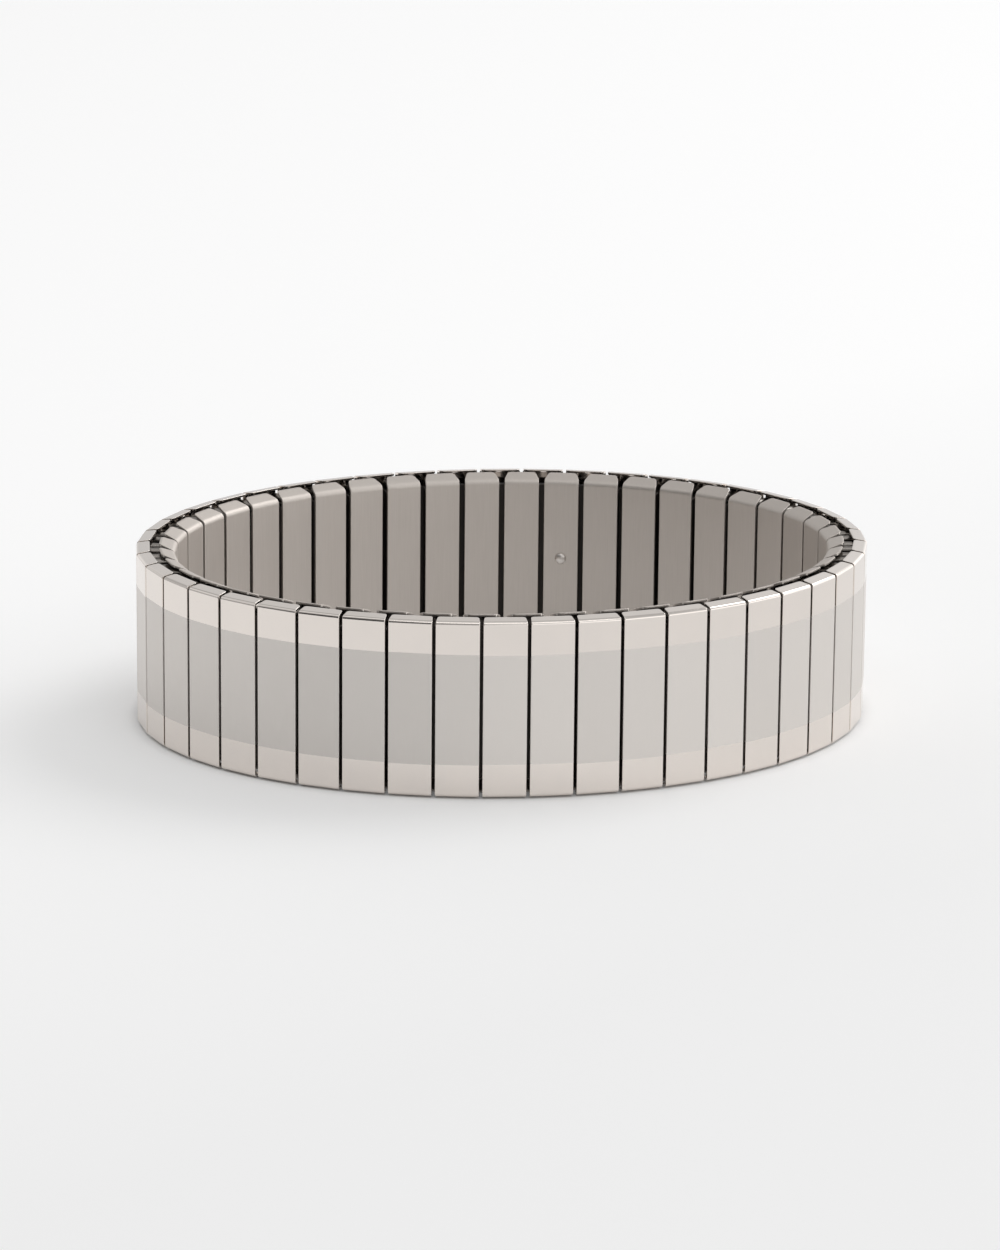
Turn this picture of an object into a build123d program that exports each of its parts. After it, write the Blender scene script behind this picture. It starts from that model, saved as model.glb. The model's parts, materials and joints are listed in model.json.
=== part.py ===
# Expansion watch band: a closed oval of short steel sleeves in two rows, an outer and an inner one,
# set half a pitch apart. Wire staples along both edges join each sleeve to the two behind it, and a
# bowed leaf spring in each sleeve presses on the staples' legs, so the band draws itself together.
# Millimetres. The band stands on its edge: +Z is across the band, +X along the oval's long way, and
# the origin is under the oval's centre, in the plane that the band rests on.

from build123d import *
from math import atan2, cos, radians, tan, tau
import os

# Driving dimensions: the oval, measured over the outer faces, the band's width over the flaps' tips,
# and the depth of its two rows
ring_length = 59.1
ring_depth = 48.2
band_width = 14.3
link_count = 46
row_depth = 1.55
row_gap = 0.1

# Driving dimensions: the sleeves, folded from thin sheet
sheet = 0.2
outer_gap = 0.26
inner_gap = 0.17
edge_radius = 0.06
outer_taper = 0.19
inner_taper = 0.12
outer_bend_radius = 0.28
inner_bend_radius = 0.5
outer_flap_depth = 1.1
inner_flap_depth = 1.35
outer_flap_rise = 0.15
inner_flap_rise = 0.45
tip_land = 0.15
outer_flap_taper = 0.13
inner_flap_taper = 0.33
outer_flap_corner = 0.25
inner_flap_corner = 0.3

# Driving dimensions: the staples, bent from round wire, and how far they can tilt, in degrees
wire_diameter = 0.65
staple_bend_radius = 0.37
staple_tilt = 32.5
leg_length = 5.95
leg_face_gap = 0.04
leg_side_gap = 0.05
crown_gap = 0.05
channel_gap = 0.1

# Driving dimensions: the leaf springs
spring_thickness = 0.12
spring_length = 11.0
spring_gap = 0.03
spring_side_gap = 0.1

# Driving dimensions: the small raised pip that marks the sleeve where the strip was closed to a loop
pip_diameter = 0.95
pip_height = 0.25
pip_edge_radius = 0.2
pip_height_share = 0.5

# The band is free to stretch after each of these inner sleeves, and rigid between them.
# Sleeves are counted counterclockwise, seen from above, from the outer one at the front (-Y).
# Inner sleeve 0 sits behind the gap between outer sleeves 0 and 1.
free_after = (43, 2, 7, 11, 16, 20, 25, 30, 34, 39)
closing_sleeve = 20
front_share = 0.75

# Sizes that follow
band_thickness = 2 * row_depth + row_gap
wire_radius = wire_diameter / 2
with BuildLine() as oval:
    EllipticalCenterArc((0, 0), ring_length / 2, ring_depth / 2, arc_size=360)
ring_edge = oval.edges()[0]
pitch = ring_edge.length / link_count
mean_radius = ring_edge.length / tau
tightest_radius = (ring_depth / 2) ** 2 / (ring_length / 2)

leg_depth = sheet + leg_face_gap + wire_radius
leg_spread = band_thickness - 2 * leg_depth
leg_lift = leg_spread * (1 - cos(radians(staple_tilt)))

outer_face_width = pitch - outer_gap
inner_face_width = pitch * (1 - band_thickness / tightest_radius) - inner_gap
lifted_share = (leg_depth + leg_lift) / row_depth
outer_leg_place = outer_face_width / 2 - outer_taper * lifted_share - sheet - wire_radius - leg_side_gap
outer_half_pitch = pitch / 2 * (1 - leg_depth / mean_radius)
inner_half_pitch = pitch / 2 * (1 - (leg_depth + leg_spread) / mean_radius)
inner_leg_place = inner_half_pitch * (1 - outer_leg_place / outer_half_pitch)


def flap_slope(flap_depth, flap_rise):
    """The angle at which a flap rises from the bend to the narrow level land at its tip."""
    return atan2(flap_rise, flap_depth - tip_land)


def level_under_flap(flap_depth, flap_rise):
    """How high a staple's crown can run with its bends still clear of a flap's sloping underside."""
    slope = flap_slope(flap_depth, flap_rise)
    short_of_tip = flap_depth - tip_land - leg_depth - staple_bend_radius
    below_flap = sheet + crown_gap + wire_radius + staple_bend_radius
    return band_width - short_of_tip * tan(slope) - below_flap / cos(slope) + staple_bend_radius


crown_level = min(
    level_under_flap(outer_flap_depth, outer_flap_rise),
    level_under_flap(inner_flap_depth, inner_flap_rise),
)
channel_depth = band_width - crown_level + wire_radius + channel_gap
spring_back = row_depth - sheet - spring_gap
spring_rise = spring_back - spring_thickness - spring_gap - leg_depth - wire_radius


def sleeve(face_width, taper, bend_radius, flap_depth, flap_rise, flap_taper, flap_corner):
    """One sleeve: a tapered tube, and a face plate that folds over both of the band's edges.

    X is along the band, Y the depth from the sleeve's face, Z across the band. The flaps are bent by
    less than a right angle, so they rise towards their tips, which are ground level.
    """
    past_tip = 2 * flap_depth
    low_end = flap_rise - past_tip * tan(flap_slope(flap_depth, flap_rise))
    half_face = face_width / 2
    half_tip = half_face - flap_taper

    def side(depth):
        return half_face - taper * depth / row_depth

    def trapezoid(front, back, wall):
        return Polyline(
            (wall - side(front), front),
            (side(front) - wall, front),
            (side(back) - wall, back),
            (wall - side(back), back),
            close=True,
        )

    with BuildPart() as folded_plate:
        with BuildSketch(Plane.YZ) as fold:
            with BuildLine():
                Polyline(
                    (0, flap_rise),
                    (past_tip, low_end),
                    (past_tip, band_width - low_end),
                    (0, band_width - flap_rise),
                    close=True,
                )
            make_face()
            fillet(fold.vertices().group_by(Axis.X)[0], radius=bend_radius)
            offset(amount=-sheet, mode=Mode.SUBTRACT)
        extrude(amount=half_face, both=True)
        with BuildSketch() as plan:
            with BuildLine():
                Polyline(
                    (-half_face, 0),
                    (half_face, 0),
                    (side(bend_radius), bend_radius),
                    (half_tip, flap_depth),
                    (-half_tip, flap_depth),
                    (-side(bend_radius), bend_radius),
                    close=True,
                )
            make_face()
            fillet(plan.vertices().group_by(Axis.Y)[0], radius=edge_radius)
            fillet(plan.vertices().group_by(Axis.Y)[-1], radius=flap_corner)
        extrude(amount=band_width, mode=Mode.INTERSECT)

    with BuildPart() as whole:
        with BuildSketch(Plane.XY.offset(channel_depth)) as walls:
            with BuildLine():
                trapezoid(0, row_depth, 0)
            make_face()
            fillet(walls.vertices(), radius=edge_radius)
            with BuildLine():
                trapezoid(sheet, row_depth - sheet, sheet)
            make_face(mode=Mode.SUBTRACT)
        extrude(amount=band_width - 2 * channel_depth)
        add(folded_plate.part)
    return whole.part


def leaf_spring(face_width, taper):
    """A flat strip bowed along its length: its ends on the sleeve's back wall, its middle at the legs."""
    half_width = face_width / 2 - taper - sheet - spring_side_gap
    low_end = (band_width - spring_length) / 2
    high_end = low_end + spring_length
    with BuildPart() as strip:
        with BuildSketch(Plane.YZ):
            with BuildLine():
                back = ThreePointArc(
                    (spring_back, low_end),
                    (spring_back - spring_rise, band_width / 2),
                    (spring_back, high_end),
                )
                front = ThreePointArc(
                    (spring_back - spring_thickness, low_end),
                    (spring_back - spring_thickness - spring_rise, band_width / 2),
                    (spring_back - spring_thickness, high_end),
                )
                Line(back @ 0, front @ 0)
                Line(back @ 1, front @ 1)
            make_face()
        extrude(amount=half_width, both=True)
    return strip.part


def staple_pair():
    """The two staples of one joint: a U of round wire at each edge, crown outwards, legs inwards.

    Y runs from the leg in the outer sleeve to the leg in the inner one, about the middle between them.
    """
    leg_end = crown_level - leg_length
    with BuildPart() as pair:
        with BuildLine():
            bent_wire = FilletPolyline(
                (0, -leg_spread / 2, leg_end),
                (0, -leg_spread / 2, crown_level),
                (0, leg_spread / 2, crown_level),
                (0, leg_spread / 2, leg_end),
                radius=staple_bend_radius,
            )
        with BuildSketch(Plane(origin=bent_wire @ 0, z_dir=bent_wire % 0)):
            Circle(wire_radius)
        sweep()
        mirror(about=Plane.XY.offset(band_width / 2))
    return pair.part


def on_oval(count, depth=0, along=0):
    """A point that many pitches round the oval, that far in from its face and along its tangent."""
    share = (front_share + count / link_count) % 1
    tangent = ring_edge.tangent_at(share)
    inward = Vector(0, 0, 1).cross(tangent)
    return ring_edge.position_at(share) + inward * depth + tangent * along


def outer_place(index):
    """Where an outer sleeve sits: its face on the oval, its depth inwards."""
    share = (front_share + index / link_count) % 1
    return Plane(on_oval(index), x_dir=ring_edge.tangent_at(share), z_dir=(0, 0, 1)).location


def inner_place(index):
    """Where an inner sleeve sits: half a pitch on, its face towards the wrist, its depth outwards."""
    count = index + 1 / 2
    share = (front_share + count / link_count) % 1
    tangent = ring_edge.tangent_at(share)
    return Plane(on_oval(count, band_thickness), x_dir=-tangent, z_dir=(0, 0, 1)).location


def staple_place(outer_index, inner_index):
    """Where a pair of staples sits: between a leg's place in an outer and in an inner sleeve."""
    side = 1 if inner_index == outer_index else -1
    outer_leg = on_oval(outer_index, leg_depth, side * outer_leg_place)
    inner_leg = on_oval(inner_index + 1 / 2, leg_depth + leg_spread, -side * inner_leg_place)
    radial = inner_leg - outer_leg
    return Plane((outer_leg + inner_leg) / 2, x_dir=radial.cross(Vector(0, 0, 1)), z_dir=(0, 0, 1)).location


def write_group(name, pieces, places):
    """Write one named group: each piece, a separate solid, at each of its places."""
    with BuildPart() as group:
        for piece, where in zip(pieces, places):
            with Locations(*where):
                add(piece)
    group.part.label = name
    export_step(group.part, "parts/" + name + ".step")


outer_sleeve = sleeve(
    outer_face_width,
    outer_taper,
    outer_bend_radius,
    outer_flap_depth,
    outer_flap_rise,
    outer_flap_taper,
    outer_flap_corner,
)
inner_sleeve = sleeve(
    inner_face_width,
    inner_taper,
    inner_bend_radius,
    inner_flap_depth,
    inner_flap_rise,
    inner_flap_taper,
    inner_flap_corner,
)
outer_spring = leaf_spring(outer_face_width, outer_taper)
inner_spring = leaf_spring(inner_face_width, inner_taper)
staples = staple_pair()

with BuildPart() as closing_link:
    add(inner_sleeve)
    with BuildSketch(Plane.XZ):
        with Locations((0, band_width * pip_height_share)):
            Circle(pip_diameter / 2)
    extrude(amount=pip_height)
    fillet(closing_link.edges().group_by(Axis.Y)[0], radius=pip_edge_radius)

os.makedirs("parts", exist_ok=True)

for number, last in enumerate(free_after[1:] + free_after[:1], start=1):
    first = (free_after[number - 1] + 1) % link_count
    size = (last - first) % link_count + 1
    members = [(first + step) % link_count for step in range(size)]
    plain = [index for index in members if index != closing_sleeve]

    write_group(f"outer_links_{number}", [outer_sleeve], [[outer_place(index) for index in members]])
    write_group(f"inner_links_{number}", [inner_sleeve], [[inner_place(index) for index in plain]])
    write_group(
        f"leaf_springs_{number}",
        [outer_spring, inner_spring],
        [[outer_place(index) for index in members], [inner_place(index) for index in members]],
    )
    fixed_joints = [staple_place(index, index) for index in members]
    fixed_joints += [staple_place(index, index - 1) for index in members[1:]]
    write_group(f"staples_{number}", [staples], [fixed_joints])
    write_group(f"hinge_staples_{number}", [staples], [[staple_place(last + 1, last)]])

write_group("closing_link", [closing_link.part], [[inner_place(closing_sleeve)]])

print("pitch", round(pitch, 4), "leg spread", round(leg_spread, 4), "leg lift", round(leg_lift, 4))
print("outer face", round(outer_face_width, 3), "inner face", round(inner_face_width, 3))
print("outer leg place", round(outer_leg_place, 3), "inner leg place", round(inner_leg_place, 3))
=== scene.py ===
import json

import bpy
import numpy as np
from mathutils import Matrix, Vector


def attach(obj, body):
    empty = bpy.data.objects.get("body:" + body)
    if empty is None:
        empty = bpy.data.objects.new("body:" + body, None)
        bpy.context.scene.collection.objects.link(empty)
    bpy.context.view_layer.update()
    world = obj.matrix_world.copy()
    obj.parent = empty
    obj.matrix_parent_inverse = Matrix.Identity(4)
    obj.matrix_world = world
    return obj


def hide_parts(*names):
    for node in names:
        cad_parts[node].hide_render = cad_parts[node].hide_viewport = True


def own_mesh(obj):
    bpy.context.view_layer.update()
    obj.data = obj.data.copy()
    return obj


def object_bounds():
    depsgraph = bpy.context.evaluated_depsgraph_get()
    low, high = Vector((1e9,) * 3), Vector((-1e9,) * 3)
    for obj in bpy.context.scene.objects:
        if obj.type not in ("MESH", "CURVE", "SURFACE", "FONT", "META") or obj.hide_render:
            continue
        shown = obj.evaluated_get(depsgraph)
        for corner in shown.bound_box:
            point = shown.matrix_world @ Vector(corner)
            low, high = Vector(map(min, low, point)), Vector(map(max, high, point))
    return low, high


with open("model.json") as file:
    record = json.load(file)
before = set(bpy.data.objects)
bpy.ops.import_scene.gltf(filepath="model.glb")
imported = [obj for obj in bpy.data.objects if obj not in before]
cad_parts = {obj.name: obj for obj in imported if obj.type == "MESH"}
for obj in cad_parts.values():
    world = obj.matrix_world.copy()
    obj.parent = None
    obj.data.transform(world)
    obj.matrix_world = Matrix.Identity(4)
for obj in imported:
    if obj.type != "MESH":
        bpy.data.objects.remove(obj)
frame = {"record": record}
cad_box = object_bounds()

# Expansion watch band: two staggered rows of folded steel sleeves, wire staples along both edges
# and a bowed leaf spring in each sleeve. Metres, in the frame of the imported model.
MM = 0.001

# The oval, measured over the outer faces, and the band's section
ring_length = 59.1 * MM
ring_depth = cad_box[1][1] - cad_box[0][1]
band_width = cad_box[1][2] - cad_box[0][2]
link_count = 46
row_depth = 1.55 * MM
row_gap = 0.1 * MM
band_thickness = 2 * row_depth + row_gap
# Links are counted from the middle of the front, three quarters of the way round from the right end
front_share = 0.75

# The sleeves, folded from thin sheet
sheet = 0.2 * MM
outer_gap = 0.26 * MM
inner_gap = 0.17 * MM
wall_corner = 0.06 * MM
tip_land = 0.15 * MM
cut_edge = 0.035 * MM
face_crown = 0.012 * MM

# The flat parts have a station this far from every bend, so that smooth shading leaves them flat
hold = 0.02 * MM

# The staples, bent from round wire
wire_radius = 0.325 * MM
staple_bend_radius = 0.37 * MM
staple_tilt = np.radians(32.5)
leg_length = 5.95 * MM
leg_face_gap = 0.04 * MM
leg_side_gap = 0.05 * MM
crown_gap = 0.05 * MM
channel_gap = 0.1 * MM

# The leaf springs
spring_thickness = 0.12 * MM
spring_length = 11.0 * MM
spring_gap = 0.03 * MM
spring_side_gap = 0.1 * MM
spring_edge = 0.03 * MM

# The pip on the closing sleeve
pip_radius = 0.475 * MM
pip_height = 0.25 * MM

# The satin part of an outer face, between its two polished bands, and how much it differs by link
satin_height = 8.82 * MM
satin_spread = 0.12 * MM

# The band is free to stretch after each of these inner sleeves, counted counterclockwise from the front
free_after = (43, 2, 7, 11, 16, 20, 25, 30, 34, 39)
closing_sleeve = 20


# The oval by its arc length
angles = np.linspace(0, 2 * np.pi, 20001)
speeds = np.hypot(ring_length / 2 * np.sin(angles), ring_depth / 2 * np.cos(angles))
arc = np.concatenate([[0], np.cumsum((speeds[1:] + speeds[:-1]) / 2 * np.diff(angles))])
pitch = arc[-1] / link_count

# Sizes that follow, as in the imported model
mean_radius = arc[-1] / (2 * np.pi)
tightest_radius = (ring_depth / 2) ** 2 / (ring_length / 2)
leg_depth = sheet + leg_face_gap + wire_radius
leg_spread = band_thickness - 2 * leg_depth
leg_lift = leg_spread * (1 - np.cos(staple_tilt))
spring_back = row_depth - sheet - spring_gap
spring_rise = spring_back - spring_thickness - spring_gap - leg_depth - wire_radius

outer_form = dict(
    face_width=pitch - outer_gap,
    taper=0.19 * MM,
    bend_radius=0.28 * MM,
    flap_depth=1.1 * MM,
    flap_rise=0.15 * MM,
    flap_taper=0.13 * MM,
    flap_corner=0.25 * MM,
)
inner_form = dict(
    face_width=pitch * (1 - band_thickness / tightest_radius) - inner_gap,
    taper=0.12 * MM,
    bend_radius=0.5 * MM,
    flap_depth=1.35 * MM,
    flap_rise=0.45 * MM,
    flap_taper=0.33 * MM,
    flap_corner=0.3 * MM,
)
lifted_share = (leg_depth + leg_lift) / row_depth
side_wall_at_leg = outer_form["face_width"] / 2 - outer_form["taper"] * lifted_share - sheet
outer_leg_place = side_wall_at_leg - wire_radius - leg_side_gap
outer_half_pitch = pitch / 2 * (1 - leg_depth / mean_radius)
inner_half_pitch = pitch / 2 * (1 - (leg_depth + leg_spread) / mean_radius)
inner_leg_place = inner_half_pitch * (1 - outer_leg_place / outer_half_pitch)


def flap_slope(flap_depth, flap_rise, **_):
    """The angle at which a flap rises from the bend to the narrow level land at its tip."""
    return np.arctan2(flap_rise, flap_depth - tip_land)


def level_under_flap(form):
    """How high a staple's crown can run with its bends still clear of a flap's sloping underside."""
    slope = flap_slope(**form)
    short_of_tip = form["flap_depth"] - tip_land - leg_depth - staple_bend_radius
    below_flap = sheet + crown_gap + wire_radius + staple_bend_radius
    return band_width - short_of_tip * np.tan(slope) - below_flap / np.cos(slope) + staple_bend_radius


crown_level = min(level_under_flap(outer_form), level_under_flap(inner_form))
channel_depth = band_width - crown_level + wire_radius + channel_gap


def on_oval(count, depth=0, along=0):
    """Points that many pitches round the oval, that far in from its face and along its tangent.

    The share of the oval's length is turned to an angle by interpolation in its summed arc length.
    Gives the points and the unit tangents, as rows of x, y, z.
    """
    share = (front_share + np.asarray(count) / link_count) % 1
    angle = np.interp(share * arc[-1], arc, angles)
    zero = np.zeros_like(angle)
    point = np.stack([ring_length / 2 * np.cos(angle), ring_depth / 2 * np.sin(angle), zero], -1)
    tangent = np.stack([-ring_length * np.sin(angle), ring_depth * np.cos(angle), zero], -1)
    tangent /= np.linalg.norm(tangent, axis=-1, keepdims=True)
    inward = np.stack([-tangent[..., 1], tangent[..., 0], zero], -1)
    return point + inward * depth + tangent * along, tangent


def upright(origin, along):
    """Places with z up: x runs along the given direction, and y is z crossed with x."""
    up = np.broadcast_to([0.0, 0.0, 1.0], along.shape)
    return origin, np.stack([along, np.cross(up, along), up], axis=-2)


def outer_places(indices):
    """Where outer sleeves sit: faces on the oval, depth inwards."""
    point, tangent = on_oval(np.asarray(indices, float))
    return upright(point, tangent)


def inner_places(indices):
    """Where inner sleeves sit: half a pitch on, faces towards the wrist, depth outwards."""
    point, tangent = on_oval(np.asarray(indices) + 1 / 2, band_thickness)
    return upright(point, -tangent)


def staple_places(outer_indices, inner_indices):
    """Where staples sit: y from the leg in an outer sleeve to the leg in an inner one."""
    outer_indices, inner_indices = np.asarray(outer_indices), np.asarray(inner_indices)
    side = np.where(inner_indices == outer_indices, 1, -1)[:, None]
    outer_leg, _ = on_oval(outer_indices, leg_depth, side * outer_leg_place)
    inner_leg, _ = on_oval(inner_indices + 1 / 2, leg_depth + leg_spread, -side * inner_leg_place)
    radial = (inner_leg - outer_leg) / np.linalg.norm(inner_leg - outer_leg, axis=1, keepdims=True)
    return upright((outer_leg + inner_leg) / 2, np.cross(radial, [0, 0, 1]))


def sweep(run, into, across, depth):
    """A section carried along a line in a plane, with both ends closed.

    A point is the section's across coordinate, and the line's point plus the section's depth times
    the direction into the piece there. Each section is one loop of an even number of points, and an
    end is closed by quads between its two halves. The quads face outwards: the volume that they
    enclose is positive. Gives points as (across, run) and quads.
    """
    stations, loop = across.shape
    flat = run[:, None, :] + depth[:, :, None] * into[:, None, :]
    points = np.concatenate([across[:, :, None], flat], axis=2).reshape(-1, 3)
    station, around = np.meshgrid(np.arange(stations - 1), np.arange(loop), indexing="ij")
    beside = (around + 1) % loop
    here, ahead = station * loop, (station + 1) * loop
    wall = np.stack([here + around, here + beside, ahead + beside, ahead + around], -1).reshape(-1, 4)
    half = np.arange(loop // 2 - 1)
    cap = np.stack([half, loop - 1 - half, loop - 2 - half, half + 1], -1)
    last = cap[:, ::-1] + (stations - 1) * loop
    quads = np.concatenate([wall, cap, last])
    a, b, c, d = (points[quads[:, corner]] for corner in range(4))
    volume = np.sum(a * (np.cross(b, c) + np.cross(c, d)))
    return points, quads if volume > 0 else quads[:, ::-1]


def rounded_strip(half_width, thickness, outer_round, inner_round, inset, crown=0.0):
    """The section of a strip of sheet at each station: a rectangle with rounded corners.

    The outer side comes first, left to right, then the inner side back. inset draws the section in
    all round, and crown sets its edges back by the square of their share of the half width.
    """
    turn = np.linspace(0, np.pi / 2, 5)
    least_round, most_share = 0.004 * MM, 0.8
    width = (half_width - inset)[:, None]
    low, high = inset[:, None], (thickness - inset)[:, None]

    def side(radius, level, sign):
        radius = np.clip(radius - inset[:, None], least_round, (high - low) * most_share)
        across = np.concatenate(
            [
                -width + radius * (1 - np.cos(turn)),
                -width + radius + hold,
                -width / 3,
                width / 3,
                width - radius - hold,
                width - radius * (1 - np.cos(turn[::-1])),
            ],
            axis=1,
        )
        drop = radius * (1 - np.sin(turn))
        flat = np.zeros((len(inset), 4))
        return across, level + sign * np.concatenate([drop, flat, drop[:, ::-1]], axis=1)

    outer_across, outer_depth = side(outer_round, low, 1)
    inner_across, inner_depth = side(inner_round, high, -1)
    across = np.concatenate([outer_across, inner_across[:, ::-1]], axis=1)
    depth = np.concatenate([outer_depth, inner_depth[:, ::-1]], axis=1)
    return across, depth + np.asarray(crown).reshape(-1, 1) * (across / half_width[:, None]) ** 2


def folded_plate(face_width, taper, bend_radius, flap_depth, flap_rise, flap_taper, flap_corner):
    """A sleeve's face with its two end flaps: one strip folded over both of the band's edges.

    The line runs in y and z: along the lower flap, round a bend of less than a right angle, up the
    face, and the same back. The flap slopes outwards to its tip, where it is cut off level. The half
    width falls with depth as the side walls do, then to the flap's tip, whose corners are quarter
    circles; the cut tip is rounded over its thickness.
    """
    slope = flap_slope(flap_depth, flap_rise)
    bend_reach = bend_radius * np.tan((np.pi / 2 - slope) / 2)
    half_face = face_width / 2
    corner_turn = np.linspace(0, np.pi / 2, 7)
    cut_turn = np.linspace(0, np.pi / 2, 4)
    from_tip = np.union1d(flap_corner * (1 - np.cos(corner_turn)), cut_edge * (1 - np.cos(cut_turn)))
    flap = flap_depth - np.union1d(from_tip, [tip_land])
    flap = np.concatenate([flap, [bend_reach * np.cos(slope) + sheet * np.sin(slope) + hold]])
    bend = np.linspace(slope, np.pi / 2, 9)
    bend_start = flap_rise + bend_reach
    face = np.array([bend_start + hold, (band_width - satin_height) / 2, band_width / 2])

    y = np.concatenate([flap, bend_radius * (1 - np.sin(bend)), np.zeros(len(face))])
    sloping = flap_rise - flap * np.tan(slope)
    level = np.clip(sloping, 0, None)
    z = np.concatenate([level, bend_start - bend_radius * np.cos(bend), face])
    tilt = np.concatenate([np.full(len(flap), slope), bend, np.full(len(face), np.pi / 2)])
    into = np.stack([np.sin(tilt), np.cos(tilt)], -1)
    into[: len(flap), 0] = 0
    into[: len(flap), 1] = (sloping + sheet / np.cos(slope) - level) / sheet

    side_at_bend = half_face - taper * bend_radius / row_depth
    half_tip = half_face - flap_taper
    width = np.interp(y, [0, bend_radius, flap_depth], [half_face, side_at_bend, half_tip])
    short = np.clip(flap_corner - (flap_depth - y), 0, flap_corner)
    width = width - flap_corner + np.sqrt(flap_corner**2 - short**2)
    near = np.clip(cut_edge - (flap_depth - y), 0, cut_edge)
    inset = cut_edge - np.sqrt(cut_edge**2 - near**2)
    crown = face_crown * np.sin(tilt)

    upper = slice(-2, None, -1)
    run = np.stack([np.concatenate([y, y[upper]]), np.concatenate([z, band_width - z[upper]])], -1)
    into = np.concatenate([into, into[upper] * [1, -1]])
    width, inset, crown, tilt = (np.concatenate([v, v[upper]]) for v in (width, inset, crown, tilt))
    round_out = (cut_edge + (wall_corner - cut_edge) * np.sin(tilt))[:, None]
    round_in = cut_edge * np.cos(tilt)[:, None]
    across, depth = rounded_strip(width, sheet, round_out, round_in, inset, crown)
    return sweep(run, into, across, depth)


def tube_walls(face_width, taper, **_):
    """A sleeve's side walls and back: a strip folded round two corners behind the face.

    The line runs in x and y, down one side wall, round a corner that is tangent to both walls, along
    the back, and the same up the other side. Its section lies in z.
    """
    half_face = face_width / 2
    lean = np.arctan(taper / row_depth)
    turn = np.linspace(0, np.pi / 2 - lean, 6)
    tangent_length = wall_corner * np.tan((np.pi / 2 - lean) / 2)
    back_half = half_face - taper
    centre = np.array([-back_half + tangent_length, row_depth - wall_corner])
    direction = np.stack([-np.cos(lean + turn), np.sin(lean + turn)], -1)
    corner = centre + wall_corner * direction
    start = np.array([-(half_face - taper * sheet / row_depth), sheet])
    middle = np.array([0.0, row_depth])
    before = corner[0] + (start - corner[0]) / np.linalg.norm(start - corner[0]) * hold
    after = corner[-1] + [hold, 0]
    half_run = np.concatenate([[start, before], corner, [after, middle]])
    half_out = np.concatenate([direction[[0, 0]], direction, direction[[-1, -1]]])
    other = slice(-2, None, -1)
    run = np.concatenate([half_run, half_run[other] * [-1, 1]])
    into = -np.concatenate([half_out, half_out[other] * [-1, 1]])
    half_height = np.full(len(run), band_width / 2 - channel_depth)
    edge = np.full((len(run), 1), cut_edge)
    across, depth = rounded_strip(half_height, sheet, edge, edge, np.zeros(len(run)))
    points, quads = sweep(run, into, across, depth)
    return points[:, [1, 2, 0]] + [0, 0, band_width / 2], quads


def sleeve(form):
    """One sleeve: its folded plate and the walls behind it, and which of its quads are walls."""
    plate, walls = folded_plate(**form), tube_walls(**form)
    behind = np.repeat([0, 1], [len(plate[1]), len(walls[1])])
    return together([plate, walls]), behind


def pip():
    """The small domed pip: a profile turned about y, half a flattened circle over a short wall.

    The radius falls as the cosine of the turn and the height rises as its sine. The last circle is
    a hundredth as wide as the first, and is closed like every end.
    """
    turn = np.linspace(0, np.pi / 2, 8)[:-1]
    top_radius = 0.01 * pip_radius
    radius = np.concatenate([[pip_radius], pip_radius * np.cos(turn), [top_radius]])
    height = np.concatenate([[-sheet / 2], pip_height * np.sin(turn), [pip_height]])
    around = np.linspace(0, 2 * np.pi, 24, endpoint=False)
    across = radius[:, None] * np.cos(around)
    depth = radius[:, None] * np.sin(around)
    run = np.stack([-height, np.full(len(height), band_width / 2)], -1)
    into = np.broadcast_to([0.0, 1.0], run.shape)
    return sweep(run, into, across, depth)


def staple():
    """One staple: a circle of wire carried down a leg, round two bends and down the other leg.

    The line runs in y and z, and the wire's ends are domed by drawing the last circles in.
    """
    bend = np.linspace(0, np.pi / 2, 6)
    centre = np.array([-leg_spread / 2 + staple_bend_radius, crown_level - staple_bend_radius])
    out = np.stack([-np.cos(bend), np.sin(bend)], -1)
    leg_end = crown_level - leg_length
    burr = 0.08 * MM
    cut = np.linspace(0, np.pi / 2, 4)
    end_y = np.full(len(cut), -leg_spread / 2)
    end_z = leg_end + burr * (1 - np.cos(cut))
    end = np.stack([end_y, end_z], -1)
    half_run = np.concatenate([end, centre + staple_bend_radius * out, [[0, crown_level]]])
    half_out = np.concatenate([np.broadcast_to(out[0], end.shape), out, [[0, 1]]])
    half_radius = np.full(len(half_run), wire_radius)
    half_radius[: len(cut)] -= burr * (1 - np.sin(cut))
    other = slice(-2, None, -1)
    run = np.concatenate([half_run, half_run[other] * [-1, 1]])
    into = np.concatenate([half_out, half_out[other] * [-1, 1]])
    radius = np.concatenate([half_radius, half_radius[other]])
    around = np.linspace(0, 2 * np.pi, 12, endpoint=False)
    return sweep(run, into, radius[:, None] * np.cos(around), radius[:, None] * np.sin(around))


def staple_pair():
    """The staple at each edge of the band: the upper one and its mirror image."""
    points, quads = staple()
    mirrored = points * [1, 1, -1] + [0, 0, band_width]
    return together([(points, quads), (mirrored, quads[:, ::-1])])


def leaf_spring(face_width, taper, **_):
    """A strip bowed along its length: a circle's arc from its ends on the back wall to the legs."""
    half_width = face_width / 2 - taper - sheet - spring_side_gap
    bow_radius = ((spring_length / 2) ** 2 + spring_rise**2) / (2 * spring_rise)
    reach = np.arcsin(spring_length / 2 / bow_radius)
    turn = np.linspace(-reach, reach, 15)
    out = np.stack([np.cos(turn), np.sin(turn)], -1)
    centre = np.array([spring_back - spring_rise + bow_radius, band_width / 2])
    run = centre - bow_radius * out * [1, -1]
    into = -out * [1, -1]
    width = np.full(len(turn), half_width)
    edge = np.full((len(turn), 1), spring_edge)
    across, depth = rounded_strip(width, spring_thickness, edge, edge, np.zeros(len(turn)))
    return sweep(run, into, across, depth)


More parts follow.
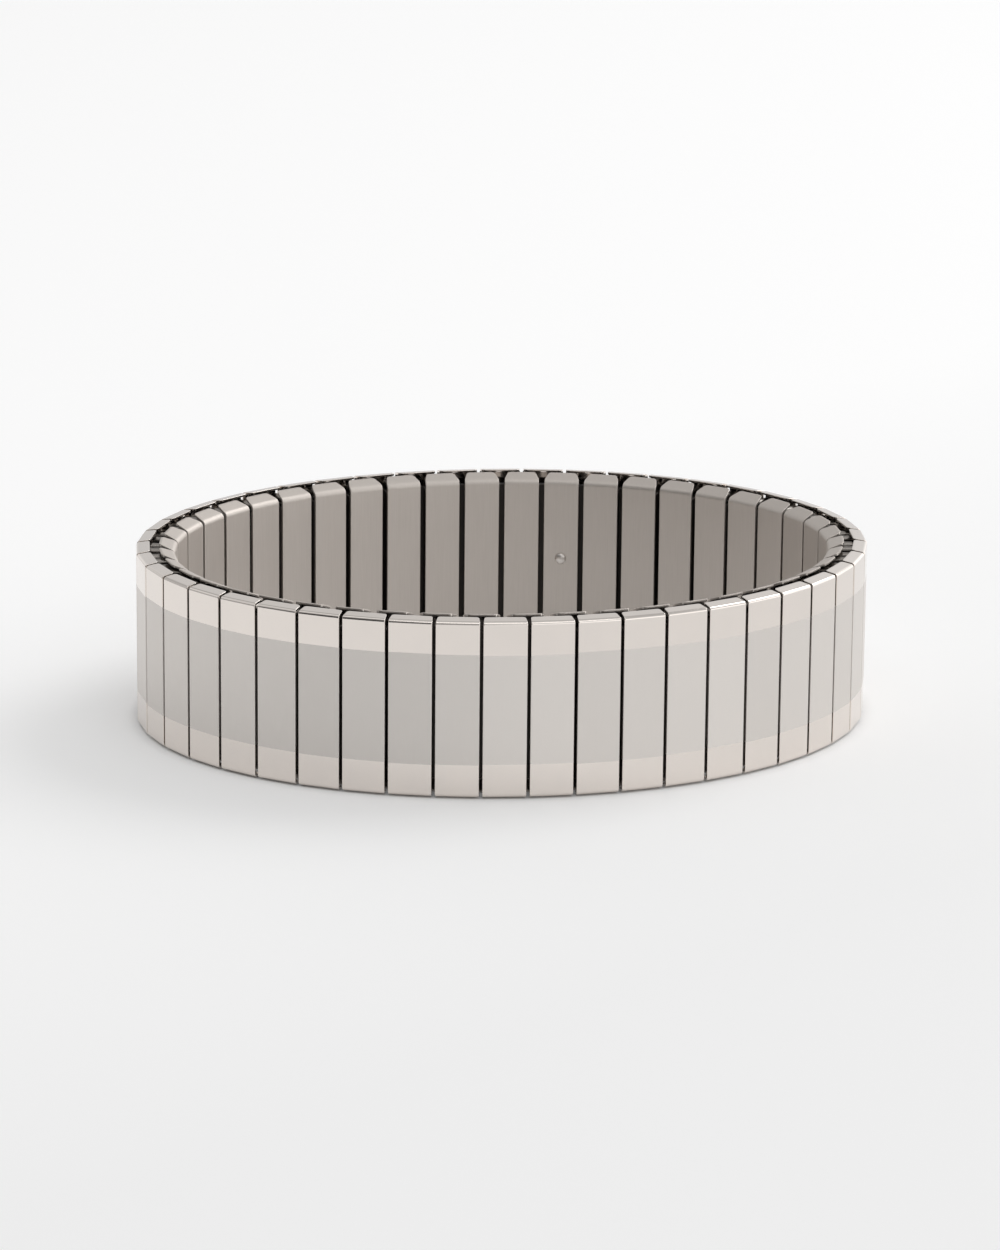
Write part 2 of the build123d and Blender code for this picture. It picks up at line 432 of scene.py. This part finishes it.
def together(shells):
    """Several shells as one: their points in a row, and their quads counted on."""
    starts = np.cumsum([0] + [len(points) for points, _ in shells[:-1]])
    points = np.concatenate([points for points, _ in shells])
    return points, np.concatenate([quads + start for (_, quads), start in zip(shells, starts)])


def copies(shell, places):
    """A shell at each of its places: its x, y and z along the place's own axes."""
    points, quads = shell
    origins, axes = places
    placed = origins[:, None, :] + np.einsum("pk,nkj->npj", points, axes)
    counted = quads[None] + (np.arange(len(origins)) * len(points))[:, None, None]
    return placed.reshape(-1, 3), counted.reshape(-1, 4)


def in_scene(name, data):
    """A new object in the scene, at the origin, unturned and unscaled."""
    made = bpy.data.objects.new(name, data)
    bpy.context.scene.collection.objects.link(made)
    return made


def piece(name, points, quads, materials, body, replaced, tone=None, behind=None):
    """A mesh object from points and quads, smooth, riding on its body in place of its CAD nodes.

    tone is a value at each point for its material, and behind says which of the materials each quad
    has.
    """
    mesh = bpy.data.meshes.new(name)
    mesh.vertices.add(len(points))
    mesh.vertices.foreach_set("co", points.astype(np.float32).ravel())
    mesh.loops.add(quads.size)
    mesh.loops.foreach_set("vertex_index", quads.astype(np.int32).ravel())
    mesh.polygons.add(len(quads))
    mesh.polygons.foreach_set("loop_start", np.arange(0, quads.size, 4, dtype=np.int32))
    mesh.update(calc_edges=True)
    mesh.polygons.foreach_set("use_smooth", np.ones(len(quads), bool))
    if tone is not None:
        mesh.attributes.new("tone", "FLOAT", "POINT").data.foreach_set("value", tone.astype(np.float32))
    for material in materials:
        mesh.materials.append(material)
    if behind is not None:
        mesh.polygons.foreach_set("material_index", behind.astype(np.int32))
    made = in_scene(name, mesh)
    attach(made, body)
    if replaced:
        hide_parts(*replaced)
    return made


def linear(hex_colour):
    """An sRGB hex colour as linear red, green, blue and alpha."""
    parts = np.array([int(hex_colour[i : i + 2], 16) for i in (1, 3, 5)]) / 255
    low = parts <= 0.04045
    return (*np.where(low, parts / 12.92, ((parts + 0.055) / 1.055) ** 2.4), 1.0)


def node(tree, kind, links=None, values=None, **settings):
    """Add a node with its settings, its input values and the sockets that feed its inputs.

    A value that is an sRGB hex colour is turned linear.
    """
    made = tree.nodes.new(kind)
    for name, value in settings.items():
        setattr(made, name, value)
    for socket, value in (values or {}).items():
        made.inputs[socket].default_value = linear(value) if isinstance(value, str) else value
    for socket, source in (links or {}).items():
        tree.links.new(source, made.inputs[socket])
    return made


def by_direction(tree, vector, centre, reach, levels):
    """A number that goes from one level to the other as vector dot centre crosses its reach."""
    along = node(tree, "ShaderNodeVectorMath", {0: vector}, {1: centre}, operation="DOT_PRODUCT")
    limits = dict(zip(("From Min", "From Max", "To Min", "To Max"), (*reach, *levels)))
    return node(tree, "ShaderNodeMapRange", {"Value": along.outputs["Value"]}, limits).outputs["Result"]


def new_material(name):
    """An empty material with its node tree."""
    material = bpy.data.materials.new(name)
    material.use_nodes = True
    material.node_tree.nodes.clear()
    return material, material.node_tree


def scratches(tree, place, spacing, squeeze):
    """Fine noise of the given spacing, which grows long in z as that axis is squeezed."""
    drawn_out = node(tree, "ShaderNodeMapping", {"Vector": place}, {"Scale": (1.0, 1.0, squeeze)})
    return node(
        tree,
        "ShaderNodeTexNoise",
        {"Vector": drawn_out.outputs["Vector"]},
        {"Scale": 1 / spacing, "Detail": 3.0, "Roughness": 0.6},
    ).outputs["Fac"]


def outer_sleeve_steel():
    """Stainless strip, satin in the middle of the face, with a mirror-polished band along each edge.

    The eye sees a lighter, warmer band above and below a cooler, slightly darker grain. The two meet
    in a line that stands a little higher or lower from link to link.
    """
    material, tree = new_material("satin_steel_with_polished_bands")
    place = node(tree, "ShaderNodeTexCoord").outputs["Object"]
    level = node(tree, "ShaderNodeSeparateXYZ", {"Vector": place}).outputs["Z"]
    middle = node(tree, "ShaderNodeMath", {0: level}, {1: band_width / 2}, operation="SUBTRACT")
    height = node(tree, "ShaderNodeMath", {0: middle.outputs[0]}, operation="ABSOLUTE")
    tone = node(tree, "ShaderNodeAttribute", attribute_name="tone").outputs["Fac"]
    by_link = node(
        tree,
        "ShaderNodeMath",
        {0: tone, 2: height.outputs[0]},
        {1: satin_spread},
        operation="MULTIPLY_ADD",
    )
    boundary = (satin_height + satin_spread) / 2
    half_blend = 0.02 * MM
    polished = node(
        tree,
        "ShaderNodeMapRange",
        {"Value": by_link.outputs[0]},
        {"From Min": boundary - half_blend, "From Max": boundary + half_blend},
    ).outputs["Result"]

    # Satin grain: fine scratches along the link, 0.05 mm apart on the real one, drawn at 0.08 mm
    grain = scratches(tree, place, 0.08 * MM, 0.06)
    # Slow clouds in the finish, about 3 mm wide
    cloud = node(
        tree, "ShaderNodeTexNoise", {"Vector": place}, {"Scale": 1 / (3 * MM), "Detail": 2.0}
    ).outputs["Fac"]

    # A Mix node takes its two colours in sockets 6 and 7 and gives the result as output 2
    satin = node(
        tree, "ShaderNodeMix", {0: tone}, {6: "#D5D0CB", 7: "#DDD8D3"}, data_type="RGBA"
    ).outputs[2]
    bright = node(
        tree, "ShaderNodeMix", {0: cloud}, {6: "#EAE2DB", 7: "#E3DCD6"}, data_type="RGBA"
    ).outputs[2]
    colour = node(
        tree, "ShaderNodeMix", {0: polished, 6: satin, 7: bright}, data_type="RGBA"
    ).outputs[2]
    satin_rough = node(
        tree, "ShaderNodeMapRange", {"Value": grain}, {"To Min": 0.36, "To Max": 0.5}
    ).outputs["Result"]
    rough = node(
        tree, "ShaderNodeMapRange", {"Value": polished, "To Min": satin_rough}, {"To Max": 0.1}
    ).outputs["Result"]
    strength = node(
        tree, "ShaderNodeMapRange", {"Value": polished}, {"To Min": 0.25, "To Max": 0.02}
    ).outputs["Result"]
    bump = node(
        tree, "ShaderNodeBump", {"Height": grain, "Strength": strength}, {"Distance": 0.002 * MM}
    ).outputs["Normal"]
    surface = node(
        tree,
        "ShaderNodeBsdfPrincipled",
        {"Base Color": colour, "Roughness": rough, "Normal": bump},
        {"Metallic": 1.0},
    )
    node(tree, "ShaderNodeOutputMaterial", {"Surface": surface.outputs[0]})
    return material


def brushed_steel(name, dark, light, rough_low, rough_high, spacing, stretch, strength):
    """Stainless sheet or wire with a fine grain.

    The eye sees scratches spaced as given, longer along z by the stretch, between a dark and a light
    colour, and as deep as their strength says.
    """
    material, tree = new_material(name)
    place = node(tree, "ShaderNodeTexCoord").outputs["Object"]
    grain = scratches(tree, place, spacing, 1 / stretch)
    colour = node(tree, "ShaderNodeMix", {0: grain}, {6: dark, 7: light}, data_type="RGBA").outputs[2]
    rough = node(
        tree, "ShaderNodeMapRange", {"Value": grain}, {"To Min": rough_low, "To Max": rough_high}
    ).outputs["Result"]
    bump = node(
        tree, "ShaderNodeBump", {"Height": grain}, {"Strength": strength, "Distance": 0.003 * MM}
    ).outputs["Normal"]
    surface = node(
        tree,
        "ShaderNodeBsdfPrincipled",
        {"Base Color": colour, "Roughness": rough, "Normal": bump},
        {"Metallic": 1.0},
    )
    node(tree, "ShaderNodeOutputMaterial", {"Surface": surface.outputs[0]})
    return material


outer_steel = outer_sleeve_steel()
# Inner sleeves: satin stainless, its scratches across the band; darker and browner than the outer
# faces, as painted shade of the ring's inside
inner_steel_painted_shade = brushed_steel("satin_steel_inside_painted_shade", "#C4BDB6", "#D4CDC7", 0.48, 0.6, 0.1 * MM, 30, 0.3)
# The sleeves' side and back walls: the strip as rolled and dull, its colour darkened as painted shade
# so the gaps come out dark
wall_steel_painted_shade = brushed_steel("dull_strip_painted_shade", "#4A4744", "#5E5956", 0.45, 0.6, 0.1 * MM, 20, 0.2)
# The pip: the same steel pressed up and burnished, so it has a soft glint
pip_steel = brushed_steel("burnished_steel_pip", "#CCC6C1", "#DAD5D0", 0.3, 0.4, 0.08 * MM, 1, 0.3)
# Staples: drawn wire, dulled by handling, with faint die lines
wire_steel = brushed_steel("drawn_steel_wire", "#837E79", "#A19C97", 0.22, 0.36, 0.05 * MM, 40, 0.2)
# Springs: cold-rolled spring strip, blank and slightly blue
spring_steel = brushed_steel("rolled_spring_strip", "#8E9094", "#A6A8AB", 0.3, 0.45, 0.08 * MM, 20, 0.2)


# The pieces of the ten rigid segments
random = np.random.default_rng(46)
tones = random.uniform(0, 1, (2, link_count))


def body_of_segment(number):
    """The body that a segment belongs to: the first one is the base."""
    return "front_segment" if number == 1 else f"segment_{number}"


def sleeves(name, shell, behind, places, values, steels, body, replaced):
    """A piece of alike sleeves, each with its own tone; behind says which steel each quad has."""
    points, quads = copies(shell, places)
    tone = np.repeat(values, len(shell[0]))
    walls = np.tile(behind, len(values))
    piece(name, points, quads, steels, body, replaced, tone, walls)


outer_shell, outer_walls = sleeve(outer_form)
inner_shell, inner_walls = sleeve(inner_form)
domed = pip()
closing_shell = together([inner_shell, domed])
closing_walls = np.concatenate([inner_walls, np.full(len(domed[1]), 2)])
pair = staple_pair()
springs = leaf_spring(**outer_form), leaf_spring(**inner_form)

for number, last in enumerate(free_after[1:] + free_after[:1], start=1):
    first = (free_after[number - 1] + 1) % link_count
    members = (first + np.arange((last - first) % link_count + 1)) % link_count
    plain = members[members != closing_sleeve]
    body = body_of_segment(number)

    sleeves(
        f"outer_sleeves_{number}", outer_shell, outer_walls, outer_places(members), tones[0][members],
        [outer_steel, wall_steel_painted_shade], body, [f"outer_links_{number}"],
    )
    sleeves(
        f"inner_sleeves_{number}", inner_shell, inner_walls, inner_places(plain), tones[1][plain],
        [inner_steel_painted_shade, wall_steel_painted_shade], body, [f"inner_links_{number}"],
    )

    # Each staple within the segment, by its outer and its inner sleeve, then the pair at the free joint
    within = np.concatenate([members, members[1:]]), np.concatenate([members, members[1:] - 1])
    points, quads = copies(pair, staple_places(*within))
    piece(
        f"wire_staples_{number}", points, quads, [wire_steel], body,
        [f"staples_{number}"],
    )
    points, quads = copies(pair, staple_places([last + 1], [last]))
    piece(
        f"tilting_staples_{number}", points, quads, [wire_steel], f"staple_pair_{number}",
        [f"hinge_staples_{number}"],
    )

    points, quads = together(
        [copies(springs[0], outer_places(members[1:])), copies(springs[1], inner_places(members))]
    )
    piece(
        f"bowed_springs_{number}", points, quads, [spring_steel], body,
        [f"leaf_springs_{number}"],
    )

    # The first outer spring lies under the leg that the joint before it lifts, and on the real band is
    # pressed flat against the back wall; here it is its own piece in the same bowed shape, and its
    # anchor, just clear of that, is worked out but not used
    pressed_place = outer_places(members[:1])
    points, quads = copies(springs[0], pressed_place)
    pressed = piece(f"pressed_spring_{number}", points, quads, [spring_steel], body, [])
    anchor_depth = row_depth - sheet - spring_gap / 6
    point, _ = on_oval(float(first), anchor_depth)
    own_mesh(pressed)

bodies = frame["record"]["behaviour"]["bodies"]
closing_body = next(name for name, nodes in bodies.items() if "closing_link" in nodes)
sleeves(
    "closing_sleeve", closing_shell, closing_walls, inner_places([closing_sleeve]),
    tones[1][[closing_sleeve]], [inner_steel_painted_shade, wall_steel_painted_shade, pip_steel], closing_body,
    ["closing_link"],
)


# The pale floor, the studio light and the camera
def stage_floor():
    """A plain white table, large enough to fill every view.

    Its glow is painted light: faint, a little more towards the left and the back, so it comes out as
    pale as paper.
    """
    half = 4.0
    level = -0.02 * MM
    mesh = bpy.data.meshes.new("floor")
    corners = [(-half, -half, level), (half, -half, level), (half, half, level), (-half, half, level)]
    mesh.from_pydata(corners, [], [(0, 1, 2, 3)])
    material, tree = new_material("matt_white_table_painted_glow")
    place = node(tree, "ShaderNodeTexCoord").outputs["Object"]
    # Painted light: the table's glow rises towards the left and the back
    painted_glow = by_direction(tree, place, (-1.0, 1.2, 0.0), (-80 * MM, 80 * MM), (0.15, 0.25))
    # Painted contact shadow: no glow where the band stands on it, which leaves a thin dark line of
    # contact
    contact_reach = 1.2 * MM
    painted_contact_shadow = node(
        tree, "ShaderNodeAmbientOcclusion", values={"Distance": contact_reach}, samples=8
    ).outputs["AO"]
    strength = node(tree, "ShaderNodeMath", {0: painted_glow, 1: painted_contact_shadow}, operation="MULTIPLY").outputs[0]
    shader = node(
        tree,
        "ShaderNodeBsdfPrincipled",
        {"Emission Strength": strength},
        {
            "Base Color": "#E7E7E7",
            "Emission Color": (1, 1, 1, 1),
            "Roughness": 0.9,
            "Specular IOR Level": 0.1,
        },
    )
    # Mirrored in the metal, the table ends behind the band; the camera sees it go on
    table_end = 250 * MM
    back = node(tree, "ShaderNodeSeparateXYZ", {"Vector": place}).outputs["Y"]
    beyond = node(
        tree, "ShaderNodeMath", {0: back}, {1: table_end}, operation="GREATER_THAN"
    ).outputs[0]
    mirrored = node(tree, "ShaderNodeLightPath").outputs["Is Glossy Ray"]
    gone = node(tree, "ShaderNodeMath", {0: beyond, 1: mirrored}, operation="MULTIPLY").outputs[0]
    clear = node(tree, "ShaderNodeBsdfTransparent")
    surface = node(
        tree, "ShaderNodeMixShader", {0: gone, 1: shader.outputs[0], 2: clear.outputs[0]}
    )
    node(tree, "ShaderNodeOutputMaterial", {"Surface": surface.outputs[0]})
    mesh.materials.append(material)
    floor = in_scene("floor", mesh)


def studio_world():
    """A white tent all round, dimmer towards the left and above its wall.

    It has a lighter panel at the upper left, a greyer low wall behind the band and a dim opening at
    the front left. Each of these is a level by direction, and they are multiplied.
    """
    world = bpy.data.worlds.new("studio")
    bpy.context.scene.world = world
    world.use_nodes = True
    tree = world.node_tree
    tree.nodes.clear()
    direction = node(tree, "ShaderNodeTexCoord").outputs["Generated"]
    tent = by_direction(tree, direction, (1.0, 0.0, 0.0), (-1.0, 0.5), (0.4, 1.2))
    left_panel = by_direction(tree, direction, (-0.6, 0.15, 0.78), (0.85, 0.95), (1.0, 2.4))
    back_wall = by_direction(tree, direction, (0.155, 0.975, 0.12), (0.89, 0.975), (1.0, 0.6))
    opening = by_direction(tree, direction, (-0.68, -0.7, 0.2), (0.7, 0.97), (1.15, 0.1))

    upwards = node(tree, "ShaderNodeSeparateXYZ", {"Vector": direction}).outputs["Z"]
    wall_and_ceiling = node(tree, "ShaderNodeValToRGB", {"Fac": upwards})
    stops = wall_and_ceiling.color_ramp.elements
    stops[0].position, stops[0].color = 0.3, (1.0, 1.0, 1.0, 1.0)
    stops[1].position, stops[1].color = 1.0, (0.8, 0.8, 0.8, 1.0)
    for position, level in ((0.55, 0.6), (0.75, 0.4), (0.92, 0.4)):
        stops.new(position).color = (level, level, level, 1.0)
    ramp = wall_and_ceiling.outputs["Color"]
    strength = tent
    for factor in (left_panel, ramp, back_wall, opening):
        strength = node(
            tree, "ShaderNodeMath", {0: strength, 1: factor}, operation="MULTIPLY"
        ).outputs[0]

    # The camera sees plain white where the floor ends
    by_camera = node(tree, "ShaderNodeLightPath").outputs["Is Camera Ray"]
    seen = node(
        tree, "ShaderNodeMapRange", {"Value": by_camera, "To Min": strength}, {"To Max": 0.97}
    ).outputs["Result"]
    background = node(tree, "ShaderNodeBackground", {"Strength": seen}, {"Color": (1, 1, 1, 1)})
    node(tree, "ShaderNodeOutputWorld", {"Surface": background.outputs[0]})


def soft_box(name, place, aim, width, height, power):
    """A rectangular soft light at a place, facing its aim."""
    lamp = bpy.data.lights.new(name, "AREA")
    lamp.shape = "RECTANGLE"
    lamp.size, lamp.size_y = width, height
    lamp.energy = power
    made = in_scene(name, lamp)
    made.location = place
    made.rotation_euler = (Vector(aim) - Vector(place)).to_track_quat("-Z", "Y").to_euler()


def photo_camera():
    """The camera of the photograph: its place, tilt, roll and long lens."""
    turn, tilt, roll = 0.1645, 0.2746, 0.0092
    distance = 451.8 * MM
    target = Vector((-0.154 * MM, 0, 7.156 * MM))
    lens_pixels, image_height = 5580, 1250
    right, up = Vector((1, 0, 0)), Vector((0, np.sin(tilt), np.cos(tilt)))
    back = right.cross(up)
    axes = Matrix((
        right * np.cos(roll) + up * np.sin(roll),
        up * np.cos(roll) - right * np.sin(roll),
        back,
    )).transposed()
    unturn = Matrix.Rotation(-turn, 4, "Z")
    camera = in_scene("camera", bpy.data.cameras.new("camera"))
    camera.matrix_world = unturn @ Matrix.Translation(target + back * distance) @ axes.to_4x4()
    camera.data.sensor_fit = "VERTICAL"
    camera.data.sensor_height = 36
    camera.data.lens = lens_pixels / image_height * camera.data.sensor_height
    camera.data.clip_start = 0.01
    camera.data.clip_end = 20
    bpy.context.scene.camera = camera


stage_floor()
studio_world()
soft_box("top_light", (0.0, -0.4, 0.7), (0, 0, 0), 0.6, 0.24, 0.6)
soft_box("right_light", (0.6, 0.26, 0.6), (0, 0, 0), 0.5, 0.5, 2.2)
photo_camera()
bpy.context.scene.view_settings.view_transform = "Standard"
